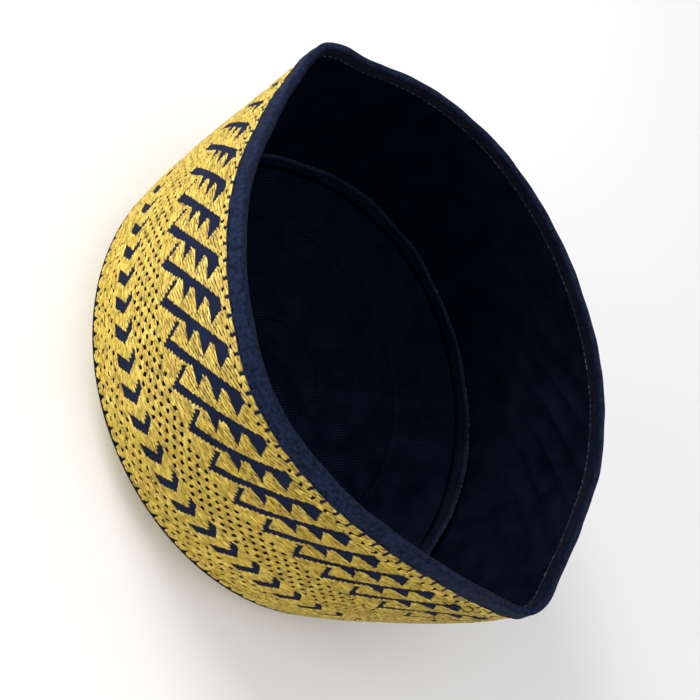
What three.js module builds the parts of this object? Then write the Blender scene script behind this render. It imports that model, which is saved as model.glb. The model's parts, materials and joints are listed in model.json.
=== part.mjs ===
// A kufi: a brimless cap with a stiff embroidered wall and a flat crown, lined and bound with tape.
// Millimetres, +Z up. The cap rests on its crown with the mouth up. X runs between the two points
// of the rim where the cap is folded flat for storage, and Y runs across the mouth.
// The origin is on the surface that the cap rests on, below the middle of its outline.
import * as THREE from "three";

// Shape of the wall and the crown, measured on the outer face of the cloth
const rimLength = 205.3; // between the two fold points of the wall's top edge
const rimWidth = 169.2; // across the wall's top edge
const rimRise = 79.4; // highest point of the wall's top edge above the crown's edge
const rimShiftX = 1.4; // middle of the rim from the middle of the crown
const rimShiftY = -7.3;
const crownLength = 176.6; // along X
const crownWidth = 183.6; // along Y
const crownTurn = -0.0193; // where the crown's edge starts, as a share of its length
const crownDepth = 11; // how far the crown bows out below its edge
const wallBulge = 4.3; // how far the wall stands out halfway up

// Cloth thicknesses and the pieces' own sizes
const wallCloth = 1.2;
const crownCloth = 1.3;
const liningCloth = 1;
const tapeCloth = 1;
const tapeWidth = 6.2; // how far the rim tape reaches down each face
const seamRise = 7; // top of the bound seam above the crown's edge
const seamThickness = 2.2;
const seamLean = 1; // how far its top leans inwards
const seamRound = 0.7; // height of its rounded top
const gap = 0.3; // clearance between neighbouring layers

// Fineness of the mesh
const stations = 88; // round the cap
const tipCrowding = 0.55; // how much closer the stations stand at the two fold points

// The wall's top edge, once round from the fold point at -X by way of -Y. turn is only a label of
// the place round the cap. along and across are shares of half the rim's length and width, and
// rise is a share of its height.
const rimTable = [
  { turn: 0.0, along: -1.0, across: 0.063, rise: 0.893 },
  { turn: 0.012, along: -0.984, across: -0.002, rise: 0.872 },
  { turn: 0.035, along: -0.917, across: -0.133, rise: 0.854 },
  { turn: 0.08, along: -0.777, across: -0.381, rise: 0.87 },
  { turn: 0.14, along: -0.57, across: -0.69, rise: 0.927 },
  { turn: 0.2, along: -0.296, across: -0.92, rise: 0.983 },
  { turn: 0.26, along: 0.019, across: -0.995, rise: 0.985 },
  { turn: 0.32, along: 0.316, across: -0.838, rise: 0.938 },
  { turn: 0.38, along: 0.583, across: -0.598, rise: 0.932 },
  { turn: 0.43, along: 0.78, across: -0.362, rise: 0.923 },
  { turn: 0.465, along: 0.896, across: -0.18, rise: 0.884 },
  { turn: 0.488, along: 0.974, across: -0.053, rise: 0.868 },
  { turn: 0.5, along: 1.0, across: 0.014, rise: 0.883 },
  { turn: 0.512, along: 0.991, across: 0.08, rise: 0.903 },
  { turn: 0.535, along: 0.928, across: 0.215, rise: 0.923 },
  { turn: 0.57, along: 0.828, across: 0.417, rise: 0.949 },
  { turn: 0.62, along: 0.658, across: 0.681, rise: 0.981 },
  { turn: 0.68, along: 0.388, across: 0.904, rise: 0.995 },
  { turn: 0.74, along: 0.069, across: 0.994, rise: 0.998 },
  { turn: 0.8, along: -0.267, across: 0.973, rise: 0.982 },
  { turn: 0.86, along: -0.567, across: 0.818, rise: 0.963 },
  { turn: 0.92, along: -0.8, across: 0.539, rise: 0.938 },
  { turn: 0.965, along: -0.92, across: 0.277, rise: 0.908 },
  { turn: 0.988, along: -0.983, across: 0.136, rise: 0.908 },
];

// Waves that take the crown's edge off a true ellipse, as shares of its radius
const crownWaves = [
  { waves: 2, cosine: 0, sine: -0.0097 },
  { waves: 3, cosine: 0.0064, sine: -0.005 },
];

// Section of the crown from its edge to its flat middle: reach is a share of its radius and
// drop a share of its depth
const crownTable = [
  { reach: 1.0, drop: 0.0 },
  { reach: 0.967, drop: 0.2 },
  { reach: 0.93, drop: 0.45 },
  { reach: 0.85, drop: 0.72 },
  { reach: 0.71, drop: 0.93 },
  { reach: 0.56, drop: 1.0 },
];

// Heights of the wall's rows below the tape, as shares of the way up from the crown's edge
const wallRows = [0.25, 0.5, 0.75];

// The two edges that the wall is stretched between

class CrownEdge extends THREE.Curve {
  getPoint(share) {
    const angle = Math.PI + 2 * Math.PI * share;
    let swell = 1;
    for (const row of crownWaves) {
      swell += row.cosine * Math.cos(row.waves * angle) + row.sine * Math.sin(row.waves * angle);
    }
    const x = (crownLength / 2) * swell * Math.cos(angle);
    const y = (crownWidth / 2) * swell * Math.sin(angle);
    return new THREE.Vector3(x, y, 0);
  }
}

const rimPoints = rimTable.map(
  (row) =>
    new THREE.Vector3(
      rimShiftX + (row.along * rimLength) / 2,
      rimShiftY + (row.across * rimWidth) / 2,
      row.rise * rimRise,
    ),
);
const rimEdge = new THREE.CatmullRomCurve3(rimPoints, true, "centripetal");
const crownEdge = new CrownEdge();
const arcSteps = 1440;
rimEdge.arcLengthDivisions = arcSteps;
crownEdge.arcLengthDivisions = arcSteps;

const wrap = (share) => share - Math.floor(share);

// The places round the cap, as shares of the rim's length, closer together at the fold points
const turns = Array.from({ length: stations }, (_, k) => {
  const t = k / stations;
  return t - (tipCrowding * Math.sin(4 * Math.PI * t)) / (4 * Math.PI);
});

const crownAt = (turn) => crownEdge.getPointAt(wrap(turn + crownTurn));
const rimAt = (turn) => rimEdge.getPointAt(wrap(turn));

// Outer face of the wall, at a share of the way up from the crown's edge to the wall's top edge
function wallFace(turn, share) {
  const low = crownAt(turn);
  const bulge = wallBulge * 4 * share * (1 - share);
  const out = low.clone().normalize().multiplyScalar(bulge);
  return low.lerp(rimAt(turn), share).add(out);
}

// The wall's outward direction there
function wallNormal(turn, share) {
  const step = 0.002;
  const round = wallFace(turn + step, share).sub(wallFace(turn - step, share));
  const up = wallFace(turn, share + step).sub(wallFace(turn, share - step));
  return round.cross(up).normalize();
}

// What each station needs is worked out once
const wall = turns.map((turn) => ({
  turn,
  low: crownAt(turn),
  slant: crownAt(turn).distanceTo(rimAt(turn)),
}));

// A point depth inside the wall's outer face and height up the wall. Above the wall's top edge
// it carries on straight.
function onWall(place, height, depth) {
  const share = height / place.slant;
  const held = Math.min(share, 1);
  const point = wallFace(place.turn, held);
  if (share > held) {
    const step = 0.01;
    const up = point.clone().sub(wallFace(place.turn, held - step)).normalize();
    point.addScaledVector(up, (share - held) * place.slant);
  }
  return point.addScaledVector(wallNormal(place.turn, held), -depth);
}

// Level of the crown's lower face against its edge, at a distance in from the edge
function crownLevel(place, inset) {
  const reach = 1 - inset / place.low.length();
  for (let k = 1; k < crownTable.length; k += 1) {
    const outer = crownTable[k - 1];
    const inner = crownTable[k];
    if (reach >= inner.reach) {
      const share = (outer.reach - reach) / (outer.reach - inner.reach);
      return -crownDepth * (outer.drop + share * (inner.drop - outer.drop));
    }
  }
  return -crownDepth;
}

// A point over the crown: inset from its edge, at a height over the crown's lower face
function overCrown(place, inset, height) {
  const point = place.low.clone().multiplyScalar(1 - inset / place.low.length());
  point.z = crownLevel(place, inset) + height;
  return point;
}

// Joins rows of points into one closed surface. Each row holds a point for every station. A ring's
// last row joins its first. A disc has a middle point below its first row and above its last.
function surface(rows, middles) {
  const positions = [];
  const index = [];
  for (const row of rows) {
    for (const point of row) {
      positions.push(point.x, point.y, point.z);
    }
  }
  const at = (row, k) => row * stations + (k % stations);
  const strips = middles ? rows.length - 1 : rows.length;
  for (let row = 0; row < strips; row += 1) {
    const next = (row + 1) % rows.length;
    for (let k = 0; k < stations; k += 1) {
      index.push(at(row, k), at(row, k + 1), at(next, k + 1));
      index.push(at(row, k), at(next, k + 1), at(next, k));
    }
  }
  if (middles) {
    const first = rows.length * stations;
    for (const point of middles) {
      positions.push(point.x, point.y, point.z);
    }
    for (let k = 0; k < stations; k += 1) {
      index.push(first, at(0, k + 1), at(0, k));
      index.push(first + 1, at(rows.length - 1, k), at(rows.length - 1, k + 1));
    }
  }
  const geometry = new THREE.BufferGeometry();
  geometry.setAttribute("position", new THREE.Float32BufferAttribute(positions, 3));
  geometry.setIndex(index);
  geometry.computeVertexNormals();
  return geometry;
}

const ring = (profile) => surface(profile.map((pointAt) => wall.map(pointAt)));

function piece(name, geometry, colour, roughness) {
  const material = new THREE.MeshStandardMaterial({ color: colour, roughness, metalness: 0 });
  const mesh = new THREE.Mesh(geometry, material);
  mesh.name = name;
  return mesh;
}

const goldThread = 0xd8b64c;
const navyCloth = 0x252c48;
const navyLining = 0x0d1420;

// Depths of the layers behind the wall's outer face
const liningDepth = wallCloth + gap;
const insideDepth = liningDepth + liningCloth;
const wallFoot = crownCloth + gap; // the wall stands on the crown's edge
const tapeDrop = tapeWidth - tapeCloth - gap; // the tape's edge below the wall's top edge

// A layer of the wall between two depths: up its outer face and down its inner one
function wallLayer(outerDepth, innerDepth) {
  const heights = [() => wallFoot];
  for (const share of wallRows) {
    heights.push((place) => share * place.slant);
  }
  heights.push((place) => place.slant - tapeDrop);
  heights.push((place) => place.slant);
  const up = heights.map((height) => (place) => onWall(place, height(place), outerDepth));
  const down = heights.map((height) => (place) => onWall(place, height(place), innerDepth));
  return ring([...up, ...down.reverse()]);
}

// A layer of the crown between two heights over its lower face, from an inset at its edge
function crownLayer(edgeInset, lowHeight, highHeight) {
  const insets = [() => edgeInset];
  for (const row of crownTable.slice(1)) {
    insets.push((place) => (1 - row.reach) * place.low.length());
  }
  const used = insets.filter((inset, k) => k === 0 || inset(wall[0]) > edgeInset + 2 * gap);
  const rowsAt = (height) =>
    used.map((inset) => wall.map((place) => overCrown(place, inset(place), height)));
  const middles = [lowHeight, highHeight].map(
    (height) => new THREE.Vector3(0, 0, height - crownDepth),
  );
  return surface([...rowsAt(lowHeight).reverse(), ...rowsAt(highHeight)], middles);
}

// The tape folded over the wall and its lining, with a rounded fold
function rimTape() {
  const outside = -gap - tapeCloth;
  const inside = insideDepth + gap + tapeCloth;
  const fold = gap + tapeCloth;
  const profile = [
    { depth: outside, height: -tapeDrop },
    { depth: outside, height: 0 },
    { depth: outside + tapeCloth / 2, height: fold - tapeCloth / 3 },
    { depth: (outside + inside) / 2, height: fold },
    { depth: inside - tapeCloth / 2, height: fold - tapeCloth / 3 },
    { depth: inside, height: 0 },
    { depth: inside, height: -tapeDrop },
    { depth: inside - tapeCloth, height: -tapeDrop },
    { depth: inside - tapeCloth, height: gap },
    { depth: outside + tapeCloth, height: gap },
    { depth: outside + tapeCloth, height: -tapeDrop },
  ];
  return ring(profile.map((row) => (place) => onWall(place, place.slant + row.height, row.depth)));
}

// The bound seam allowance that stands up inside, round the foot of the wall
function crownSeam() {
  const outer = insideDepth + gap;
  const inner = outer + seamThickness;
  const foot = crownCloth + gap + liningCloth + gap;
  const shoulder = seamRise - seamRound;
  const middle = (outer + inner) / 2 + seamLean;
  return ring([
    (place) => overCrown(place, outer, foot),
    (place) => onWall(place, shoulder, outer + seamLean),
    (place) => onWall(place, seamRise, middle),
    (place) => onWall(place, shoulder, inner + seamLean),
    (place) => overCrown(place, inner, foot),
  ]);
}

const liningFoot = crownCloth + gap;

const kufi = new THREE.Group();
kufi.add(
  piece("crown", crownLayer(0, 0, crownCloth), goldThread, 0.5),
  piece(
    "crown_lining",
    crownLayer(insideDepth + gap, liningFoot, liningFoot + liningCloth),
    navyLining,
    0.9,
  ),
  piece("band", wallLayer(0, wallCloth), goldThread, 0.5),
  piece("band_lining", wallLayer(liningDepth, insideDepth), navyLining, 0.9),
  piece("rim_binding", rimTape(), navyCloth, 0.7),
  piece("crown_seam", crownSeam(), navyCloth, 0.8),
);

// The crown's flat middle comes to Z = 0, with the outline centred over the origin
const outline = new THREE.Box3().setFromObject(kufi);
const middle = outline.getCenter(new THREE.Vector3());
kufi.position.set(-middle.x, -middle.y, crownDepth);

export default kufi;
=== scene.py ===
import json
import math

import bpy
import numpy as np
from mathutils import Matrix, Vector

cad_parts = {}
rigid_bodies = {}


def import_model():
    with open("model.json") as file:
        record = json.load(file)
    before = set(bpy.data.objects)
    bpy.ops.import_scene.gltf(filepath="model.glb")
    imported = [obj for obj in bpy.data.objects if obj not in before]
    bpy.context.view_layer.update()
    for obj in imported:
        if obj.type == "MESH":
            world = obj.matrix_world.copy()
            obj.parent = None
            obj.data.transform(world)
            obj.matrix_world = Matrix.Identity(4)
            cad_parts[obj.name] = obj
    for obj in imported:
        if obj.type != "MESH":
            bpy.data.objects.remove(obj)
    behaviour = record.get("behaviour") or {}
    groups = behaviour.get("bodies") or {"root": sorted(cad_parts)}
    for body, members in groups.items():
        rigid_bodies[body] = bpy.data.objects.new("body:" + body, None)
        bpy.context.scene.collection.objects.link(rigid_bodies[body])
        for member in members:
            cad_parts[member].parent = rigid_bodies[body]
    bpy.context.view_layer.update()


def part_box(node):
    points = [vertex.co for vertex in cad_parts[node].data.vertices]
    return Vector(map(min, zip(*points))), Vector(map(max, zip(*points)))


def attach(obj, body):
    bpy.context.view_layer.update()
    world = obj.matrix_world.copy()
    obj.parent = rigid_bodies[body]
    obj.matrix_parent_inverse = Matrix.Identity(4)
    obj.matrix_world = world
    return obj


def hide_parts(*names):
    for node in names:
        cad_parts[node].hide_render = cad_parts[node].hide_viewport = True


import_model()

MM = 0.001  # the sizes below are in millimetres, as in the part's source
rng = np.random.default_rng(7)

# Shape of the cap, as in the part's source
RIM_LENGTH, RIM_WIDTH, RIM_RISE = 205.3, 169.2, 79.4
RIM_SHIFT = np.array([1.4, -7.3, 0.0])
CROWN_LENGTH, CROWN_WIDTH, CROWN_TURN, CROWN_DEPTH = 176.6, 183.6, -0.0193, 11.0
WALL_BULGE = 4.3
CROWN_CLOTH, LINING_CLOTH, GAP = 1.3, 1.0, 0.3
WALL_FOOT = CROWN_CLOTH + GAP  # the wall and the crown's lining begin at this height
LINING_TOP = WALL_FOOT + LINING_CLOTH

# Depths behind the wall's outer face. The layers lie closer here than the solids do.
GROUND_DEPTH, BAND_BACK = 0.2, 1.0
LINING_BACK, LINING_FACE = 1.05, 1.5
TAPE_OUTSIDE, TAPE_INSIDE = -0.95, 2.15
TAPE_DROP, TAPE_INNER_DROP, TAPE_FOLD = 4.9, 4.5, 0.85
SEAM_TOP, SEAM_THICKNESS, SEAM_LEAN = 6.9, 1.9, 1.3
SEAM_OUTSIDE = LINING_FACE + 1.0

# The wall's top edge: shares of half the rim's length, half its width, and its height
RIM_TABLE = np.array([
    (-1.0, 0.063, 0.893), (-0.984, -0.002, 0.872), (-0.917, -0.133, 0.854),
    (-0.777, -0.381, 0.87), (-0.57, -0.69, 0.927), (-0.296, -0.92, 0.983),
    (0.019, -0.995, 0.985), (0.316, -0.838, 0.938), (0.583, -0.598, 0.932),
    (0.78, -0.362, 0.923), (0.896, -0.18, 0.884), (0.974, -0.053, 0.868),
    (1.0, 0.014, 0.883), (0.991, 0.08, 0.903), (0.928, 0.215, 0.923),
    (0.828, 0.417, 0.949), (0.658, 0.681, 0.981), (0.388, 0.904, 0.995),
    (0.069, 0.994, 0.998), (-0.267, 0.973, 0.982), (-0.567, 0.818, 0.963),
    (-0.8, 0.539, 0.938), (-0.92, 0.277, 0.908), (-0.983, 0.136, 0.908),
])
# Waves of the crown's edge: count, cosine share, sine share
CROWN_WAVES = ((2, 0.0, -0.0097), (3, 0.0064, -0.005))
# Section of the crown: reach as a share of its radius, drop as a share of its depth
CROWN_REACH = np.array([0.0, 0.56, 0.71, 0.85, 0.93, 0.967, 1.0])
CROWN_DROP = np.array([1.0, 1.0, 0.93, 0.72, 0.45, 0.2, 0.0])


def evened(points, count=4096):
    """Points at equal steps round a closed line, with the first one repeated at the end."""
    closed = np.vstack([points, points[:1]])
    run = np.r_[0, np.cumsum(np.linalg.norm(np.diff(closed, axis=0), axis=1))]
    at = np.linspace(0, run[-1], count + 1)
    return np.column_stack([np.interp(at, run, closed[:, k]) for k in range(3)]), run[-1]


def smooth_closed(points, fine=60):
    """A closed centripetal Catmull-Rom curve through the points."""
    out = []
    share = np.arange(fine)[:, None] / fine
    for k in range(len(points)):
        p0, p1, p2, p3 = (points[(k + j) % len(points)] for j in (-1, 0, 1, 2))
        d0, d1, d2 = (np.linalg.norm(b - a) ** 0.5 for a, b in ((p0, p1), (p1, p2), (p2, p3)))
        t1 = ((p1 - p0) / d0 - (p2 - p0) / (d0 + d1) + (p2 - p1) / d1) * d1
        t2 = ((p2 - p1) / d1 - (p3 - p1) / (d1 + d2) + (p3 - p2) / d2) * d1
        c2 = -3 * p1 + 3 * p2 - 2 * t1 - t2
        c3 = 2 * p1 - 2 * p2 + t1 + t2
        out.append(p1 + t1 * share + c2 * share**2 + c3 * share**3)
    return np.vstack(out)


half_rim = np.array([RIM_LENGTH / 2, RIM_WIDTH / 2, RIM_RISE])
RIM_LINE, RIM_ROUND = evened(smooth_closed(RIM_TABLE * half_rim + RIM_SHIFT))
angle = np.pi + np.linspace(0, 2 * np.pi, 2880, endpoint=False)
swell = 1 + sum(c * np.cos(n * angle) + s * np.sin(n * angle) for n, c, s in CROWN_WAVES)
crown_plan = np.column_stack([
    CROWN_LENGTH / 2 * swell * np.cos(angle),
    CROWN_WIDTH / 2 * swell * np.sin(angle),
    0 * angle,
])
CROWN_LINE, CROWN_ROUND = evened(crown_plan)
CROWN_RADIUS = np.linalg.norm(CROWN_LINE, axis=1).mean()
# From the crown's middle, where these sizes start, to the frame's origin
crown_low, crown_high = (np.array(c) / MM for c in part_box("crown"))
plan_middle = (crown_plan.min(0) + crown_plan.max(0)) / 2
PLACE = (crown_low + crown_high) / 2 - plan_middle
PLACE[2] = CROWN_DEPTH


def along(line, turn):
    at = (np.asarray(turn) % 1.0) * (len(line) - 1)
    first = np.minimum(at.astype(int), len(line) - 2)
    share = (at - first)[..., None]
    return line[first] * (1 - share) + line[first + 1] * share


def crown_at(turn):
    return along(CROWN_LINE, np.asarray(turn) + CROWN_TURN)


def wall_point(turn, share):
    low = crown_at(turn)
    bulge = WALL_BULGE * 4 * share * (1 - share)
    out = low / np.linalg.norm(low, axis=-1, keepdims=True)
    share = np.asarray(share)[..., None]
    return low + (along(RIM_LINE, turn) - low) * share + out * bulge[..., None]


def slant_at(turn):
    return np.linalg.norm(along(RIM_LINE, turn) - crown_at(turn), axis=-1)


def on_wall(turn, height, depth):
    """A point height up the wall and depth inside its outer face. Over the top edge it goes on."""
    turn, height, depth = np.broadcast_arrays(turn, height, depth)
    slant = slant_at(turn)
    share = height / slant
    held = np.minimum(share, 1.0)
    point = wall_point(turn, held)
    d = 0.002
    round_way = wall_point(turn + d, held) - wall_point(turn - d, held)
    up_way = wall_point(turn, held + d) - wall_point(turn, held - d)
    normal = np.cross(round_way, up_way)
    normal /= np.linalg.norm(normal, axis=-1, keepdims=True)
    up_way /= np.linalg.norm(up_way, axis=-1, keepdims=True)
    over = (share - held) * slant
    return point + up_way * over[..., None] - normal * depth[..., None]


def over_crown(turn, reach, height):
    """A point over the crown: reach is a share of its radius, height is over its lower face."""
    turn, reach, height = np.broadcast_arrays(turn, reach, height)
    point = crown_at(turn) * reach[..., None]
    drop = np.interp(reach, CROWN_REACH, CROWN_DROP)
    point[..., 2] = height - CROWN_DEPTH * drop
    return point


# Making meshes


def new_piece(name, points, faces, material, uv=None, tone=None):
    """A smooth mesh from points in millimetres and faces of equal length. It rides on the cap."""
    mesh = bpy.data.meshes.new(name)
    points = (points.reshape(-1, 3) + PLACE) * MM
    faces = np.asarray(faces, dtype=np.int32)
    count, sides = faces.shape
    mesh.vertices.add(len(points))
    mesh.vertices.foreach_set("co", points.astype(np.float32).ravel())
    mesh.loops.add(count * sides)
    mesh.loops.foreach_set("vertex_index", faces.ravel())
    mesh.polygons.add(count)
    mesh.polygons.foreach_set("loop_start", np.arange(0, count * sides, sides, dtype=np.int32))
    if uv is not None:
        layer = mesh.uv_layers.new(name="cloth")
        layer.data.foreach_set("uv", uv.reshape(-1, 2)[faces.ravel()].astype(np.float32).ravel())
    if tone is not None:
        attribute = mesh.attributes.new("tone", "FLOAT", "POINT")
        attribute.data.foreach_set("value", tone.astype(np.float32).ravel())
    mesh.update(calc_edges=True)
    mesh.validate()
    mesh.polygons.foreach_set("use_smooth", np.ones(len(mesh.polygons), dtype=bool))
    mesh.materials.append(material)
    piece = bpy.data.objects.new(name, mesh)
    bpy.context.scene.collection.objects.link(piece)
    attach(piece, "root")
    return piece


def sheet_faces(rows, columns, close_rows=True, close_columns=False):
    """Quads over a grid of rows round the cap and columns across."""
    r = np.arange(rows if close_rows else rows - 1)
    c = np.arange(columns if close_columns else columns - 1)
    r, c = np.meshgrid(r, c, indexing="ij")
    r1, c1 = (r + 1) % rows, (c + 1) % columns
    quads = np.stack([r * columns + c, r1 * columns + c, r1 * columns + c1, r * columns + c1], -1)
    return quads.reshape(-1, 4)


# Materials


def material_with(name, colour, roughness, sheen=0.0, specular=0.3):
    made = bpy.data.materials.new(name)
    made.use_nodes = True
    made.diffuse_color = (*colour, 1)
    shader = made.node_tree.nodes["Principled BSDF"]
    shader.inputs["Base Color"].default_value = (*colour, 1)
    shader.inputs["Roughness"].default_value = roughness
    shader.inputs["Specular IOR Level"].default_value = specular
    shader.inputs["Sheen Weight"].default_value = sheen
    shader.inputs["Sheen Roughness"].default_value = 0.4
    return made, made.node_tree, shader


def add_node(tree, kind, **inputs):
    node = tree.nodes.new(kind)
    for key, value in inputs.items():
        node.inputs[key.replace("_", " ")].default_value = value
    return node


def colour_ramp(tree, factor, stops):
    ramp = tree.nodes.new("ShaderNodeValToRGB")
    while len(ramp.color_ramp.elements) < len(stops):
        ramp.color_ramp.elements.new(0.5)
    for element, (place, colour) in zip(ramp.color_ramp.elements, stops):
        element.position = place
        element.color = (*colour, 1)
    tree.links.new(factor, ramp.inputs["Fac"])
    return ramp


def multiply(tree, first, second, factor):
    mix = tree.nodes.new("ShaderNodeMixRGB")
    mix.blend_type = "MULTIPLY"
    mix.inputs["Fac"].default_value = factor
    tree.links.new(first, mix.inputs["Color1"])
    tree.links.new(second, mix.inputs["Color2"])
    return mix.outputs["Color"]


def thread_material(name, dark, middle, bright, roughness, specular):
    """Shiny thread whose stitches differ a little, from the tone given to each."""
    made, tree, shader = material_with(name, middle, roughness, sheen=0.03, specular=specular)
    tone = tree.nodes.new("ShaderNodeAttribute")
    tone.attribute_name = "tone"
    ramp = colour_ramp(tree, tone.outputs["Fac"], ((0.0, dark), (0.5, middle), (1.0, bright)))
    noise = add_node(tree, "ShaderNodeTexNoise", Scale=420.0, Detail=4.0)
    place = tree.nodes.new("ShaderNodeTexCoord")
    tree.links.new(place.outputs["Object"], noise.inputs["Vector"])
    shade = colour_ramp(tree, noise.outputs["Fac"], ((0.32, (0.6, 0.56, 0.5)), (0.6, (1, 1, 1))))
    colour = multiply(tree, ramp.outputs["Color"], shade.outputs["Color"], 0.7)
    tree.links.new(colour, shader.inputs["Base Color"])
    return made


def ribs(tree, vector, pitch, direction, distortion):
    """Fine parallel ribs, pitch millimetres apart on the cloth."""
    wave = tree.nodes.new("ShaderNodeTexWave")
    wave.bands_direction = direction
    wave.inputs["Scale"].default_value = math.pi / 10 / pitch
    wave.inputs["Distortion"].default_value = distortion
    wave.inputs["Detail"].default_value = 2.0
    wave.inputs["Detail Scale"].default_value = 0.6
    tree.links.new(vector, wave.inputs["Vector"])
    return wave.outputs["Fac"]


def cloth_material(name, dark, light, rib, rib_turn, depth, sheen=0.0, specular=0.06, grain=90.0,
                   inner=1.0, edge=0.0):
    """Woven cloth: ribs a rib apart, turned on the cloth, with uneven dye. Where inner is given,
    the cloth gets that much darker past the place edge across it, as painted shade."""
    made, tree, shader = material_with(name, light, 0.85, sheen=sheen, specular=specular)
    place = tree.nodes.new("ShaderNodeTexCoord")
    turned = tree.nodes.new("ShaderNodeMapping")
    turned.inputs["Rotation"].default_value = (0, 0, rib_turn)
    tree.links.new(place.outputs["UV"], turned.inputs["Vector"])
    weave = ribs(tree, turned.outputs["Vector"], rib, "X", 0.6)
    cross = ribs(tree, turned.outputs["Vector"], rib * 0.8, "Y", 1.0)
    both = tree.nodes.new("ShaderNodeMath")
    both.operation = "MULTIPLY_ADD"
    both.inputs[1].default_value = 0.35
    tree.links.new(cross, both.inputs[0])
    tree.links.new(weave, both.inputs[2])
    noise = add_node(tree, "ShaderNodeTexNoise", Scale=grain, Detail=5.0)
    tree.links.new(place.outputs["Object"], noise.inputs["Vector"])
    dye = colour_ramp(tree, noise.outputs["Fac"], ((0.3, dark), (0.7, light)))
    shade = colour_ramp(tree, weave, ((0.0, (0.2, 0.22, 0.27)), (1.0, (1, 1, 1))))
    colour = multiply(tree, dye.outputs["Color"], shade.outputs["Color"], 0.75)
    # Painted shade: past edge the cloth is made inner times as dark.
    if inner < 1:
        split = tree.nodes.new("ShaderNodeSeparateXYZ")
        tree.links.new(place.outputs["UV"], split.inputs["Vector"])
        reach = tree.nodes.new("ShaderNodeMapRange")
        reach.inputs["From Min"].default_value = edge - 0.8
        reach.inputs["From Max"].default_value = edge + 0.8
        tree.links.new(split.outputs["Y"], reach.inputs["Value"])
        fade = colour_ramp(tree, reach.outputs["Result"],
                           ((0.0, (1, 1, 1)), (1.0, (inner, inner, inner))))
        colour = multiply(tree, colour, fade.outputs["Color"], 1.0)
    tree.links.new(colour, shader.inputs["Base Color"])
    bump = tree.nodes.new("ShaderNodeBump")
    bump.inputs["Distance"].default_value = depth * MM
    bump.inputs["Strength"].default_value = 0.8
    tree.links.new(both.outputs[0], bump.inputs["Height"])
    tree.links.new(bump.outputs["Normal"], shader.inputs["Normal"])
    return made


GOLD = thread_material("gold_thread", (0.2, 0.125, 0.01), (0.55, 0.385, 0.032),
                       (0.86, 0.64, 0.12), 0.36, 0.5)
GROUND = cloth_material("navy_ground", (0.008, 0.012, 0.034), (0.013, 0.019, 0.05), 0.5, 0.7,
                        0.05)
# Nearly black: painted shade inside the needle holes.
HOLE_SHADE = material_with("needle_hole", (0.003, 0.004, 0.008), 0.9, specular=0.02)[0]
# The tape's inner leg, past its fold, is made 0.35 as dark: painted shade.
TAPE = cloth_material("navy_tape", (0.003, 0.006, 0.018), (0.018, 0.03, 0.074), 0.6, 0.75, 0.1,
                      sheen=0.03, specular=0.04, grain=650.0, inner=0.35, edge=TAPE_DROP + 2.6)
WALL_LINING = cloth_material("navy_wall_lining", (0.0018, 0.0034, 0.009),
                             (0.005, 0.0085, 0.02), 0.9, 0.78, 0.1, specular=0.006)
CROWN_LINING = cloth_material("navy_crown_lining", (0.0028, 0.005, 0.0135),
                              (0.0068, 0.0115, 0.027), 1.05, 0.0, 0.16, specular=0.006)
# The seam tape's inner face, towards the cap's middle, is made 0.6 as dark: painted shade.
SEAM_CLOTH = cloth_material("navy_seam_cloth", (0.008, 0.013, 0.03), (0.02, 0.03, 0.06), 0.6,
                            0.75, 0.06, specular=0.02, inner=0.6, edge=10.8)
DARK_STITCH = thread_material("dark_stitch", (0.0004, 0.0008, 0.002), (0.001, 0.0018, 0.0045),
                              (0.003, 0.005, 0.011), 0.8, 0.01)
PALE_STITCH = thread_material("pale_stitch", (0.008, 0.012, 0.022), (0.024, 0.032, 0.052),
                              (0.07, 0.085, 0.12), 0.7, 0.04)

# Camera, fitted to the photograph

VIEW_AZIMUTH, VIEW_ELEVATION, VIEW_ROLL = (math.radians(a) for a in (1.568, 41.98, 67.93))
VIEW_DISTANCE = 469.0  # from the camera to the point it looks at
VIEW_POINT = np.array([-2.31, -1.88, 56.0])
VIEW_PIXELS = 700
VIEW_POINT_AT = (376.1, 340.9)  # where that point lies in the picture
VIEW_SCALE = 2.8311  # pixels for a millimetre there
WORLD_LIGHT = 0.66


def place_camera():
    back = Vector((math.sin(VIEW_AZIMUTH) * math.cos(VIEW_ELEVATION),
                   -math.cos(VIEW_AZIMUTH) * math.cos(VIEW_ELEVATION),
                   math.sin(VIEW_ELEVATION)))
    level = Vector((math.cos(VIEW_AZIMUTH), math.sin(VIEW_AZIMUTH), 0))
    rise = back.cross(level)
    right = math.cos(VIEW_ROLL) * level + math.sin(VIEW_ROLL) * rise
    up = back.cross(right)
    data = bpy.data.cameras.new("camera")
    camera = bpy.data.objects.new("camera", data)
    turn = Matrix((right, up, back)).transposed().to_4x4()
    spot = Vector(VIEW_POINT * MM) + back * VIEW_DISTANCE * MM
    camera.matrix_world = Matrix.Translation(spot) @ turn
    data.sensor_width = 36
    data.lens = VIEW_SCALE * VIEW_DISTANCE / VIEW_PIXELS * data.sensor_width
    data.shift_x = (VIEW_PIXELS / 2 - VIEW_POINT_AT[0]) / VIEW_PIXELS
    data.shift_y = (VIEW_POINT_AT[1] - VIEW_PIXELS / 2) / VIEW_PIXELS
    data.clip_start = 0.01
    bpy.context.scene.collection.objects.link(camera)
    bpy.context.scene.camera = camera


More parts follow.
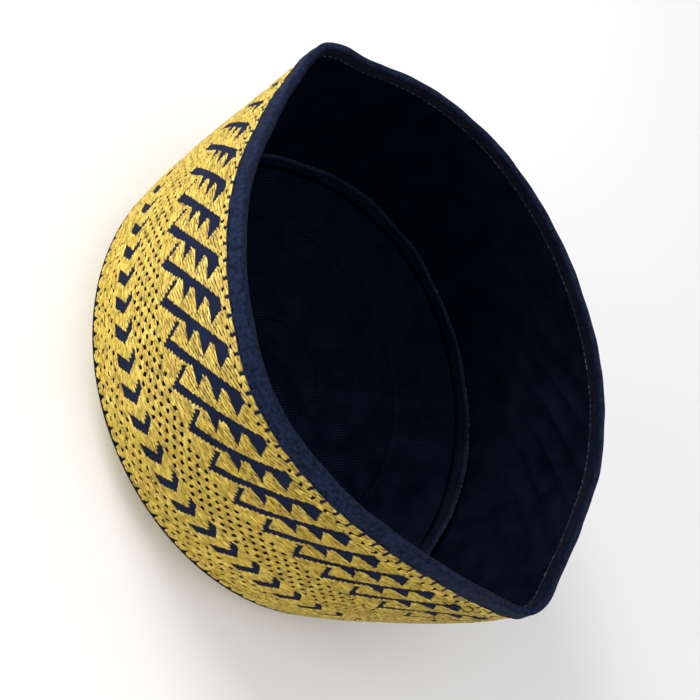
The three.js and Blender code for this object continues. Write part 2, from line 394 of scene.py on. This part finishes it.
def stage_and_lights():
    bpy.ops.mesh.primitive_plane_add(size=6.0, location=(0, 0, 0))
    floor = bpy.context.object
    floor.name = "floor"
    paper = material_with("floor_paper", (0.9, 0.9, 0.91), 0.9, specular=0.1)[0]
    floor.data.materials.append(paper)
    world = bpy.data.worlds.new("studio")
    world.use_nodes = True
    world.node_tree.nodes["Background"].inputs["Color"].default_value = (1, 1, 1, 1)
    world.node_tree.nodes["Background"].inputs["Strength"].default_value = WORLD_LIGHT
    bpy.context.scene.world = world
    for name, spot, size, power in (
        ("key_light", (-1.1, -0.25, 0.62), 0.5, 11.8),
        ("fill_light", (-0.5, -1.1, 0.25), 0.9, 9.3),
        ("top_light", (0.2, -0.3, 1.3), 1.0, 2.0),
    ):
        data = bpy.data.lights.new(name, "AREA")
        data.size = size
        data.energy = power
        light = bpy.data.objects.new(name, data)
        light.location = spot
        aim = Vector((0, 0, 0.05)) - Vector(spot)
        light.rotation_euler = aim.to_track_quat("-Z", "Y").to_euler()
        bpy.context.scene.collection.objects.link(light)
    bpy.context.scene.view_settings.view_transform = "Standard"


place_camera()
stage_and_lights()

# The wall's pattern. Places along it are in millimetres round the rim, and heights are in
# millimetres on the chart, which is PATTERN_HEIGHT high from the crown's edge to the tape's fold.

PATTERN_ROUND, PATTERN_HEIGHT = 573.0, 75.95
PAST_RIM = 1.3  # how far the tape's fold lies past the wall's top edge
EMBROIDERY_LOW, EMBROIDERY_HIGH = 1.5, 71.0
THREAD_PITCH = 0.38

# One bare chevron, from its tip's place, and one bare bar of the comb, from its peak's place
CHEVRONS, CHEVRON_AT = 59, 134.0
CHEVRON = np.array([
    (0.0, 21.5), (-3.6, 15.8), (-8.2, 16.1), (-4.5, 21.9), (-9.0, 26.3), (-4.8, 26.9),
])
COMBS, COMB_AT = 44, 127.9
COMB = np.array([
    (-0.6, 41.0), (0.7, 41.0), (6.5, 47.8), (7.7, 49.8), (8.7, 51.4), (15.1, 51.2), (11.8, 54.5),
    (12.7, 56.4), (19.9, 56.2), (16.4, 59.8), (17.3, 61.4), (24.3, 61.4), (21.2, 65.0),
    (21.2, 65.9), (18.4, 66.0), (-0.4, 45.0), (-1.5, 44.9), (-5.4, 49.7), (-6.5, 47.8),
])
# The thread that jumps from each valley of the comb to the tooth below it
JUMP = ((6.7, 47.6), (7.9, 49.9))
# Rows of needle holes: count round the cap, one hole's place, height
HOLE_ROWS = (
    (106, 140.3, 4.2), (106, 139.7, 7.4), (106, 142.2, 9.8), (106, 139.4, 12.1),
    (106, 141.7, 14.2), (110, 137.7, 28.2), (110, 140.2, 30.0), (110, 142.5, 32.1),
    (110, 139.6, 34.0), (110, 142.0, 35.9), (110, 139.2, 37.8), (110, 141.7, 39.6),
    (105, 139.0, 67.0),
)
HOLE_HALF_LENGTH, HOLE_HALF_HEIGHT = 0.58, 0.8
HOLE_MARGIN = 0.08  # of the dark oval of painted shade behind each hole
SMALL_HOLES_FROM, SMALL_HOLE = 60, 0.72  # the holes nearest to the tape are smaller
# Notches at the two edges of the embroidery
LOW_NOTCHES, LOW_NOTCH_AT, LOW_NOTCH_TOP, LOW_NOTCH_HALF = 106, 138.0, 3.9, 0.22
LOW_NOTCH_FLARE, LOW_NOTCH_FLARE_TOP = 0.35, 2.6  # they widen by this share below this height
RIM_NOTCHES, RIM_NOTCH_AT, RIM_NOTCH_FOOT, RIM_NOTCH_HALF = 105, 141.35, 67.5, 0.32
# Where the stitching strays from the chart: place, drift along and drift up
DRIFT_AT = np.array([0, 60, 76, 88, 102, 115, 141, 154, 167, 180, 194, 207, 225, 245, 573.0])
DRIFT_ALONG = np.array([0, 1.2, 1.0, 0.4, 0.3, 0, 0, 0.3, 0.9, 1.3, 0.9, 0.8, 0.3, 0, 0])
DRIFT_UP = np.array([0, 1.6, 1.4, 0.7, 0.3, 0.1, 0, 0, -0.6, -0.9, 0.5, 1.0, 0.5, 0, 0])
# How the comb's upper end is pulled towards the two points: place, pull along and pull up
PULL_AT = np.array([0, 45, 58, 71, 84, 94, 108, 121, 141, 149, 162, 175, 188, 201, 214, 240, 253,
                    266, 286, 370, 490, 573.0])
PULL_ALONG = np.array([-12.5, -12.5, -10.9, -8.6, -5.2, -4.0, -2.5, -1.3, 0.2, 1.2, 3.0, 3.8, 5.2,
                       6.2, 6.8, 6.9, 10.0, 14.0, 15.0, 0, 0, -12.5])
PULL_UP = np.array([-3.5, -3.5, -2.6, -1.0, -0.2, 0, 0.6, 0.3, 0, 0, -0.3, -0.6, -1.0, -1.6, -1.7,
                    -1.9, -2.6, -4.0, -4.0, 0, 0, -3.5])
# How much of each applies at a height: heights, shares
DRIFT_FADE = ((0, 18, 50, 68), (0, 1, 1, 0))
PULL_ALONG_FADE = ((43, 65), (0, 1))
PULL_UP_FADE = ((43, 62, 66, 70), (0, 1, 1, 0))
STEP_HEIGHT = 1.14  # of the steps that the thread ends make along an edge
SHORTEST_STRAND = 0.3


def on_pattern(mm, chart, depth):
    """The point of the wall at a place on the chart."""
    mm, chart = np.broadcast_arrays(mm, chart)
    weight = np.interp(chart, *DRIFT_FADE)
    drift_along = np.interp(mm, DRIFT_AT, DRIFT_ALONG) * weight
    drift_up = np.interp(mm, DRIFT_AT, DRIFT_UP) * weight
    pull_along = np.interp(mm, PULL_AT, PULL_ALONG) * np.interp(chart, *PULL_ALONG_FADE)
    pull_up = np.interp(mm, PULL_AT, PULL_UP) * np.interp(chart, *PULL_UP_FADE)
    turn = (mm + drift_along + pull_along) / PATTERN_ROUND
    height = (chart + drift_up + pull_up) / PATTERN_HEIGHT * (slant_at(turn) + PAST_RIM)
    return on_wall(turn, height, depth)


def bare_parts(outline, height):
    """Where a level line meets an outline. Thread ends make steps on edges that face down."""
    a, b = outline, np.roll(outline, -1, axis=0)
    crossing = (a[:, 1] > height) != (b[:, 1] > height)
    a, b = a[crossing], b[crossing]
    slope = (b[:, 0] - a[:, 0]) / (b[:, 1] - a[:, 1])
    xs = a[:, 0] + (height - a[:, 1]) * slope
    order = np.argsort(xs)
    xs, slope = xs[order], slope[order]
    side = np.where(np.arange(len(xs)) % 2 == 0, -1, 1)
    into_step = height - np.floor(height / STEP_HEIGHT) * STEP_HEIGHT
    limit = np.clip(slope, -1.4, 1.4)
    xs = np.where(side * slope > 0.1, xs - 1.25 * limit * into_step - 0.1 * side, xs)
    return xs.reshape(-1, 2)


def spread(count, at):
    step = PATTERN_ROUND / count
    return at % step + np.arange(count) * step


def hole_size(row):
    return np.where(np.asarray(row) > SMALL_HOLES_FROM, SMALL_HOLE, 1.0)


def bare_stretches(height):
    """Stretches of a thread line at this height that stay bare: start, end, 1 at a needle hole."""
    out = []
    for outline, count, at in ((CHEVRON, CHEVRONS, CHEVRON_AT), (COMB, COMBS, COMB_AT)):
        for left, right in bare_parts(outline, height):
            out += [(x + left, x + right, 0.0) for x in spread(count, at)]
    for count, at, row in HOLE_ROWS:
        size = hole_size(row)
        away = (height - row) / HOLE_HALF_HEIGHT / size
        if abs(away) < 1:
            half = HOLE_HALF_LENGTH * size * math.sqrt(1 - away**2)
            out += [(x - half, x + half, 1.0) for x in spread(count, at)]
    if height < LOW_NOTCH_TOP:
        half = LOW_NOTCH_HALF + LOW_NOTCH_FLARE * max(0.0, LOW_NOTCH_FLARE_TOP - height)
        out += [(x - half, x + half, 1.0) for x in spread(LOW_NOTCHES, LOW_NOTCH_AT)]
    if height > RIM_NOTCH_FOOT:
        half = RIM_NOTCH_HALF
        out += [(x - half, x + half, 1.0) for x in spread(RIM_NOTCHES, RIM_NOTCH_AT)]
    return out


def strands_of(height):
    """The stretches of thread between the bare ones, cut at the pattern's start."""
    bare = []
    for left, right, hole in bare_stretches(height):
        start = left % PATTERN_ROUND
        end = start + right - left
        bare.append((start, end, hole))
        if end > PATTERN_ROUND:
            bare.append((start - PATTERN_ROUND, end - PATTERN_ROUND, hole))
    bare.sort()
    strands = []
    at, at_hole = 0.0, 1.0
    for left, right, hole in bare:
        if left > at + SHORTEST_STRAND:
            strands.append((at, left, at_hole, hole))
        if right > at:
            at, at_hole = right, hole
    if PATTERN_ROUND > at + SHORTEST_STRAND:
        strands.append((at, PATTERN_ROUND, at_hole, 1.0))
    return strands


STITCH = 3.0  # length of one stitch
THREAD_RISE = 0.5  # how far the thread stands off the ground cloth
LOOSE_FROM, LOOSE_TO = 45, 66  # the comb's threads lie looser than the rest


def strand_samples(start, end, height, phase, line_tone, loose):
    """Places, sways, rises, half widths and tones along one strand, stitch by stitch."""
    joints = phase + np.arange(math.ceil((start + 0.9 - phase) / STITCH),
                               math.floor((end - 0.9 - phase) / STITCH) + 1) * STITCH
    joints = joints + rng.normal(0, 0.22, len(joints))
    edges = np.concatenate([[start], joints, [end]])
    count = len(edges) - 1
    low, high = edges[:-1, None], edges[1:, None]
    shares = np.array([0.0, 0.3, 0.7, 1.0])
    inset = np.array([0.06, 0.0, 0.0, -0.06])
    place = low + (high - low) * shares + inset
    slant = rng.normal(0.13, 0.05 + 0.04 * loose, (count, 1)) * np.minimum(1, (high - low) / 2)
    sway = slant * np.array([-1.0, -0.45, 0.45, 1.0]) + rng.normal(0, 0.025 + 0.03 * loose,
                                                                   (count, 1))
    lift = rng.normal(1.0, 0.14, (count, 1))
    rise = np.array([0.42, 1.0, 0.96, 0.36]) * lift
    rise[0, 0] = rise[-1, -1] = -0.1
    # Each stitch's tone is lower at its two ends, where it dips into the cloth: painted shade.
    tone = rng.normal(0.54 + line_tone, 0.23, (count, 1)) + np.array([-0.16, 0.05, 0.03, -0.2])
    half = np.full((count, 4), THREAD_PITCH * (0.6 - 0.09 * loose))
    half[0, 0] = half[-1, -1] = THREAD_PITCH * 0.4
    return [v.ravel() for v in (place, height + sway, rise, half, np.clip(tone, 0, 1))]


def all_strands():
    parts = []
    for line, height in enumerate(np.arange(EMBROIDERY_LOW, EMBROIDERY_HIGH, THREAD_PITCH)):
        loose = 1.0 if LOOSE_FROM < height < LOOSE_TO else 0.0
        phase = (line % 3) * STITCH / 3 + rng.normal(0, 0.2)
        line_tone = rng.normal(0, 0.05)
        for start, end, hole_before, hole_after in strands_of(height):
            if not hole_before:
                start += rng.normal(0, 0.04)
            if not hole_after:
                end += rng.normal(0, 0.04)
            if end - start > 0.4:
                samples = strand_samples(start, end, height, phase, line_tone, loose)
                parts.append([*samples, np.full(len(samples[0]), len(parts))])
    for place in spread(COMBS, COMB_AT):
        for aside in (-0.2, 0.15):
            share = np.linspace(0, 1, 4)
            x = place + aside + JUMP[0][0] + (JUMP[1][0] - JUMP[0][0]) * share
            y = JUMP[0][1] + (JUMP[1][1] - JUMP[0][1]) * share
            parts.append([x, y, np.array([0.2, 0.9, 0.9, 0.2]), np.full(4, 0.22),
                          np.full(4, 0.75), np.full(4, len(parts))])
    return [np.concatenate([p[k] for p in parts]) for k in range(6)]


def thread_mesh_parts(samples, locate, depth, sectors):
    """A ridge of three points across along each strand: points, faces and tones by sector."""
    place, height, rise, half, tone, number = samples
    across = np.array([-1.0, 0.0, 1.0])
    h = height[:, None] + half[:, None] * across
    depths = depth - np.column_stack([0 * rise, THREAD_RISE * rise, 0 * rise])
    points = locate(np.repeat(place[:, None], 3, 1), h, depths)
    joined = np.nonzero(number[1:] == number[:-1])[0]
    middle = (place[joined] / PATTERN_ROUND * sectors).astype(int) % sectors
    out = []
    for sector in range(sectors):
        rows = joined[middle == sector]
        used, back = np.unique(np.concatenate([rows, rows + 1]), return_inverse=True)
        near, far = back[: len(rows)], back[len(rows):]
        faces = [
            np.column_stack([near * 3 + c, far * 3 + c, far * 3 + c + 1, near * 3 + c + 1])
            for c in range(2)
        ]
        out.append((points[used], np.vstack(faces), np.repeat(tone[used], 3)))
    return out


def make_needle_holes():
    """Small dark ovals of painted shade on the ground cloth, which show through the gaps in the
    thread.
    """
    sides = 8
    turn = np.arange(sides) / sides * 2 * np.pi
    centres = np.array([(x, row) for count, at, row in HOLE_ROWS for x in spread(count, at)])
    size = hole_size(centres[:, 1, None])
    x = centres[:, 0, None] + (HOLE_HALF_LENGTH + HOLE_MARGIN) * size * np.cos(turn)
    y = centres[:, 1, None] + (HOLE_HALF_HEIGHT + HOLE_MARGIN) * size * np.sin(turn)
    faces = np.arange(len(centres) * sides).reshape(-1, sides)
    new_piece("needle_holes", on_pattern(x, y, GROUND_DEPTH - 0.04), faces, HOLE_SHADE)


def make_band():
    rows, ups, downs = 480, 30, 14
    turn = np.arange(rows) / rows
    top = slant_at(turn)[:, None]
    outer = WALL_FOOT + (top - WALL_FOOT) * np.linspace(0, 1, ups)
    inner = WALL_FOOT + (top - WALL_FOOT) * np.linspace(1, 0, downs)
    height = np.concatenate([outer, inner], axis=1)
    depth = np.concatenate([np.full(ups, GROUND_DEPTH), np.full(downs, BAND_BACK)])
    points = on_wall(turn[:, None], height, depth[None, :])
    uv = np.stack(np.broadcast_arrays(turn[:, None] * RIM_ROUND, height), -1)
    faces = sheet_faces(rows, ups + downs, close_columns=True)
    band = new_piece("band_ground", points, faces, GROUND, uv=uv)
    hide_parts("band")
    base = GROUND_DEPTH + 0.06
    samples = all_strands()
    parts = thread_mesh_parts(samples, on_pattern, base, 5)
    for k, (points, faces, tone) in enumerate(parts):
        new_piece(f"band_threads_{k + 1}", points, faces, GOLD, tone=tone)


make_band()
make_needle_holes()

CROWN_GROUND = 0.5  # the ground cloth's height over the crown's lower face
CROWN_PITCH, CROWN_STITCH = 1.0, 5.0
CROWN_BARE_RINGS = (20.0, 62.0)


def make_crown():
    rows, columns = 480, 44
    turn = np.arange(rows) / rows
    # The seam's turned edge stands out a little past the wall
    reach = np.concatenate([np.linspace(0.0004, 0.98, columns - 4), [0.99, 0.998, 1.003, 1.0045]])
    low = over_crown(turn[:, None], reach, CROWN_GROUND)
    high = over_crown(turn[:, None], reach[::-1], CROWN_CLOTH)
    points = np.concatenate([low, high], axis=1)
    faces = sheet_faces(rows, 2 * columns, close_columns=True)
    crown = new_piece("crown_ground", points, faces, GROUND, uv=points[..., :2].copy())
    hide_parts("crown")


def make_crown_threads():
    """Plain rings of stitches on the hidden outside of the crown, with two bare rings."""
    parts = []
    for ring, radius in enumerate(np.arange(1.0, CROWN_RADIUS - 0.6, CROWN_PITCH)):
        if min(abs(radius - bare) for bare in CROWN_BARE_RINGS) < 0.7:
            continue
        count = max(6, int(2 * np.pi * radius / CROWN_STITCH))
        shares = np.array([0.04, 0.3, 0.7, 0.96])
        turn = (np.arange(count)[:, None] + shares + 0.5 * (ring % 2)) / count
        shape = turn.shape
        tone = np.clip(rng.normal(0.5, 0.15, (count, 1)), 0, 1)
        number = ring * 1000 + np.arange(count)[:, None]
        fields = (turn * PATTERN_ROUND, radius, np.array([0.1, 0.7, 0.7, 0.1]),
                  CROWN_PITCH * 0.58, tone, number)
        parts.append([np.broadcast_to(v, shape).ravel() for v in fields])
    samples = [np.concatenate([p[k] for p in parts]) for k in range(6)]

    def locate(place, radius, height):
        return over_crown(place / PATTERN_ROUND, radius / CROWN_RADIUS, height)

    points, faces, tone = thread_mesh_parts(samples, locate, CROWN_GROUND, 1)[0]
    new_piece("crown_threads", points, faces, GOLD, tone=tone)


make_crown()
make_crown_threads()

RIB_WAY = math.radians(14)  # the crown lining's ribs against Y
CIRCLE_MIDDLE = np.array([-5.5, -2.0])
CIRCLES = (61.7, 19.7)
GROOVE_DEPTH, GROOVE_HALF = 0.6, 0.7
RIDGE_HEIGHT, RIDGE_AWAY, RIDGE_HALF = 0.25, 1.9, 1.3  # of the lining, just outside each groove


def lining_swell(x, y):
    """How far the crown's lining stands off its even height, with a groove at each circle."""
    away = np.hypot(x - CIRCLE_MIDDLE[0], y - CIRCLE_MIDDLE[1])
    swell = 0.25 * np.sin(x / 13 + 1) * np.sin(y / 17) + 0.12 * np.sin(x / 6 + y / 9)
    for radius in CIRCLES:
        ridge = np.exp(-((away - radius - RIDGE_AWAY) / RIDGE_HALF) ** 2)
        swell = swell - GROOVE_DEPTH * np.exp(-((away - radius) / GROOVE_HALF) ** 2)
        swell = swell + RIDGE_HEIGHT * ridge
    return swell


def make_crown_lining():
    rows = 400
    turn = np.arange(rows) / rows
    edge = 1 - (LINING_FACE + 0.4) / np.linalg.norm(crown_at(turn), axis=-1)
    rings = np.concatenate([np.linspace(0.0004, 0.15, 10), np.linspace(0.16, 0.3, 30),
                            np.linspace(0.32, 0.6, 14), np.linspace(0.62, 0.78, 34),
                            np.linspace(0.8, 1, 10)])
    reach = edge[:, None] * rings
    high = over_crown(turn[:, None], reach, LINING_TOP)
    high[..., 2] += lining_swell(high[..., 0], high[..., 1])
    low = over_crown(turn[:, None], reach[:, ::-7], WALL_FOOT)
    points = np.concatenate([high[:, ::-1], low[:, ::-1]], axis=1)
    across = points[..., 0] * math.cos(RIB_WAY) - points[..., 1] * math.sin(RIB_WAY)
    other = points[..., 0] * math.sin(RIB_WAY) + points[..., 1] * math.cos(RIB_WAY)
    faces = sheet_faces(rows, points.shape[1], close_columns=True)[:, ::-1]
    lining = new_piece("crown_lining_cloth", points, faces, CROWN_LINING,
                       uv=np.stack([across, other], -1))
    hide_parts("crown_lining")


make_crown_lining()

LINING_DIP = 0.15  # the most that a fold goes back behind the lining's face
FAR_FOLDS, FAR_FOLDS_TURN, FAR_FOLDS_HEIGHT = 1.5, (0.64, 0.06), (52, 20)  # depth, then at, reach


def make_band_lining():
    rows, ups = 480, 50
    turn = np.arange(rows)[:, None] / rows
    share = np.linspace(0, 1, ups)
    height = WALL_FOOT + (slant_at(turn) - WALL_FOOT) * share
    mm = turn * RIM_ROUND
    fade = np.sin(np.pi * share) ** 0.7
    aside = (turn - FAR_FOLDS_TURN[0]) / FAR_FOLDS_TURN[1]
    above = (height - FAR_FOLDS_HEIGHT[0]) / FAR_FOLDS_HEIGHT[1]
    far = np.exp(-(aside**2) - above**2)
    wrinkle = (
        FAR_FOLDS * np.sin((mm * 0.9 + height * 1.4) / 2.6) * far
        + 0.30 * np.sin(mm / 21 + np.sin(height / 15)) * fade
        + 0.18 * np.sin((mm - 1.3 * height) / 9.0) * fade
    )
    inner = on_wall(turn, height, LINING_FACE + np.maximum(wrinkle, -LINING_DIP))
    back = on_wall(turn, height[:, ::-7], LINING_BACK)
    points = np.concatenate([inner, back], axis=1)
    heights = np.concatenate([height, height[:, ::-7]], axis=1)
    uv = np.stack(np.broadcast_arrays(mm, heights), -1)
    faces = sheet_faces(rows, points.shape[1], close_columns=True)[:, ::-1]
    lining = new_piece("band_lining_cloth", points, faces, WALL_LINING, uv=uv)
    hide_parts("band_lining")


make_band_lining()


def make_tape():
    rows, legs, bends = 900, 7, 9
    turn = np.arange(rows)[:, None] / rows
    mm = turn * RIM_ROUND
    arc = np.linspace(np.pi, 0, bends)[1:-1]
    middle, half = (TAPE_OUTSIDE + TAPE_INSIDE) / 2, (TAPE_INSIDE - TAPE_OUTSIDE) / 2
    bend = np.sign(np.cos(arc)) * np.abs(np.cos(arc)) ** 0.8
    depth = np.concatenate([np.full(legs, TAPE_OUTSIDE), middle + half * bend,
                            np.full(legs, TAPE_INSIDE)])
    height = np.concatenate([np.linspace(-TAPE_DROP, 0, legs), TAPE_FOLD * np.sin(arc) ** 0.8,
                             np.linspace(0, -TAPE_INNER_DROP, legs)])
    run = np.cumsum(np.r_[0, np.hypot(np.diff(depth), np.diff(height))])
    ends = np.abs(2 * run / run[-1] - 1)
    pucker = 0.12 * np.sin(mm / 1.3 + 0.8 * np.sin(mm / 5)) * ends**2
    slack = 0.10 * np.sin(mm / 4.3 + run / 2) + 0.08 * np.sin(mm / 2.1 - run)
    outward = np.where(depth < middle, -1, 1)
    depths = depth + outward * (pucker + slack)
    heights = height + 0.12 * np.sin(mm / 6.7) * (1 - ends)
    inside = np.array([(TAPE_INSIDE - 0.6, -TAPE_INNER_DROP), (TAPE_INSIDE - 0.6, 0.1),
                       (TAPE_OUTSIDE + 0.6, 0.1), (TAPE_OUTSIDE + 0.6, -TAPE_DROP)])
    depths = np.concatenate([depths, np.broadcast_to(inside[:, 0], (rows, 4))], axis=1)
    heights = np.concatenate([heights, np.broadcast_to(inside[:, 1], (rows, 4))], axis=1)
    points = on_wall(turn, slant_at(turn) + heights, depths)
    across = np.concatenate([run, np.full(4, run[-1] + 1)])
    uv = np.stack(np.broadcast_arrays(mm, across[None, :]), -1)
    faces = sheet_faces(rows, points.shape[1], close_columns=True)
    tape = new_piece("rim_tape", points, faces, TAPE, uv=uv)
    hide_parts("rim_binding")


make_tape()


def row_of_stitches(name, locate, length, stitch, pause, width, material):
    """A row of short raised stitches. locate turns places along and across the row into points."""
    count = int(length / (stitch + pause))
    step = length / count
    share = np.linspace(0, 1, 6)
    place = np.arange(count)[:, None] * step + share * stitch
    across = np.array([-1.0, 0.0, 1.0]) * width / 2
    shape = (count, len(share), 3)
    lift = np.sin(np.pi * share)[:, None] ** 0.5 * np.array([0.0, 1.0, 0.0]) * width * 0.7 - 0.05
    points = locate(np.broadcast_to(place[:, :, None], shape), np.broadcast_to(across, shape),
                    np.broadcast_to(lift, shape))
    size = len(share) * 3
    first = (np.arange(count)[:, None, None] * size + np.arange(len(share) - 1)[:, None] * 3
             + np.arange(2))
    faces = np.stack([first, first + 3, first + 4, first + 1], -1).reshape(-1, 4)
    tone = np.repeat(np.clip(rng.normal(0.5, 0.25, count), 0, 1), size)
    new_piece(name, points, faces, material, tone=tone)


def rim_row(depth, below, outward):
    def locate(place, side, lift):
        turn = place / RIM_ROUND
        return on_wall(turn, slant_at(turn) - below + side, depth + outward * lift)

    return locate


row_of_stitches("outer_stitches", rim_row(TAPE_OUTSIDE - 0.02, TAPE_DROP - 0.6, -1), RIM_ROUND,
                2.2, 0.6, 0.3, DARK_STITCH)
row_of_stitches("inner_stitches", rim_row(TAPE_INSIDE + 0.02, TAPE_INNER_DROP + 0.1, 1),
                RIM_ROUND, 1.9, 0.7, 0.5, PALE_STITCH)


def seam_edge(mm):
    """Height and lean of the folded edge of the seam's tape."""
    wave = 0.4 * np.sin(mm / 9 + 2 * np.sin(mm / 37)) + 0.2 * np.sin(mm / 4.1)
    return SEAM_TOP - 0.7 + wave, SEAM_LEAN + 0.5 * np.sin(mm / 17 + 1)


def make_seam():
    rows = 600
    turn = np.arange(rows) / rows
    mm = turn * CROWN_ROUND
    outer, inner = SEAM_OUTSIDE, SEAM_OUTSIDE + SEAM_THICKNESS
    radius = np.linalg.norm(crown_at(turn), axis=-1)
    top, lean = seam_edge(mm)
    feet = [over_crown(turn, 1 - d / radius, LINING_TOP) for d in (outer, inner)]
    ups = np.linspace(0, 1, 7)[1:]
    columns = [feet[0]]
    for share in ups:
        height = LINING_TOP * (1 - share) + top * share - 0.6 * (1 - share)
        columns.append(on_wall(turn, height, outer + lean * share))
    for bend in np.linspace(0, np.pi, 8)[1:-1]:
        depth = outer + lean + SEAM_THICKNESS * (1 - math.cos(bend)) / 2
        columns.append(on_wall(turn, top + 0.8 * math.sin(bend), depth))
    for share in ups[::-1]:
        fold = 0.3 * math.exp(-((share - 0.62) / 0.1) ** 2)
        height = LINING_TOP * (1 - share) + top * share - 2.2 * (1 - share)
        columns.append(on_wall(turn, height, inner + lean * share - fold))
    columns.append(feet[1])
    points = np.stack(columns, axis=1)
    uv = np.stack(np.broadcast_arrays(mm[:, None], np.arange(len(columns))[None, :] * 0.8), -1)
    faces = sheet_faces(rows, len(columns), close_columns=True)
    seam = new_piece("crown_seam_tape", points, faces, SEAM_CLOTH, uv=uv)
    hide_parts("crown_seam")


make_seam()


def seam_row(place, side, lift):
    top, lean = seam_edge(place)
    depth = SEAM_OUTSIDE + lean + SEAM_THICKNESS / 2
    return on_wall(place / CROWN_ROUND, top + 0.82 + lift, depth + side)


def circle_row(radius):
    def locate(place, side, lift):
        way = place / radius
        x = CIRCLE_MIDDLE[0] + (radius + side) * np.cos(way)
        y = CIRCLE_MIDDLE[1] + (radius + side) * np.sin(way)
        drop = np.interp(np.hypot(x, y) / CROWN_RADIUS, CROWN_REACH, CROWN_DROP)
        height = LINING_TOP + lining_swell(x, y) + 0.1 + lift
        return np.stack([x, y, height - CROWN_DEPTH * drop], -1)

    return locate


# Pale stitches on the seam tape's top edge: partly real stitching, partly a painted highlight of
# the light that edge catches.
row_of_stitches("seam_stitches", seam_row, CROWN_ROUND, 1.9, 0.8, 0.4, PALE_STITCH)
for number, radius in enumerate(CIRCLES):
    row_of_stitches(f"circle_stitches_{number + 1}", circle_row(radius), 2 * np.pi * radius, 1.9,
                    0.6, 0.4, DARK_STITCH)


# Dark threads that have come loose below the tape: place, height, first angle and sweep
LOOSE_THREADS = ((247.5, 65.8, 0.4, 4.4), (253.3, 66.9, 2.4, -4.0))
LOOSE_HALF = 0.16  # half a loose thread's thickness


def make_loose_threads():
    share = np.linspace(0, 1, 20)[:, None]
    ring = np.arange(5) / 5 * 2 * np.pi
    for number, (place, height, first, sweep) in enumerate(LOOSE_THREADS):
        way = first + sweep * share
        across, up = np.cos(way), np.sin(way)
        reach = 0.8 + 0.6 * share + LOOSE_HALF * np.cos(ring)
        lift = 0.35 + np.sqrt(np.sin(np.pi * share) + 1e-6) + LOOSE_HALF * np.sin(ring)
        points = on_pattern(place + reach * across, height + 1.2 * reach * up, -lift)
        faces = sheet_faces(len(share), len(ring), close_rows=False, close_columns=True)
        new_piece(f"loose_thread_{number + 1}", points, faces, DARK_STITCH,
                  tone=np.full(len(share) * len(ring), 0.5))


make_loose_threads()


def declare_cloth():
    """Gathers the wall's threads, the loose threads and the painted hole shades into a list, which
    nothing uses.
    """
    find = bpy.data.objects
    threads = [o for o in find if o.name.startswith(("band_threads", "loose_thread"))]
    threads.append(find["needle_holes"])


declare_cloth()
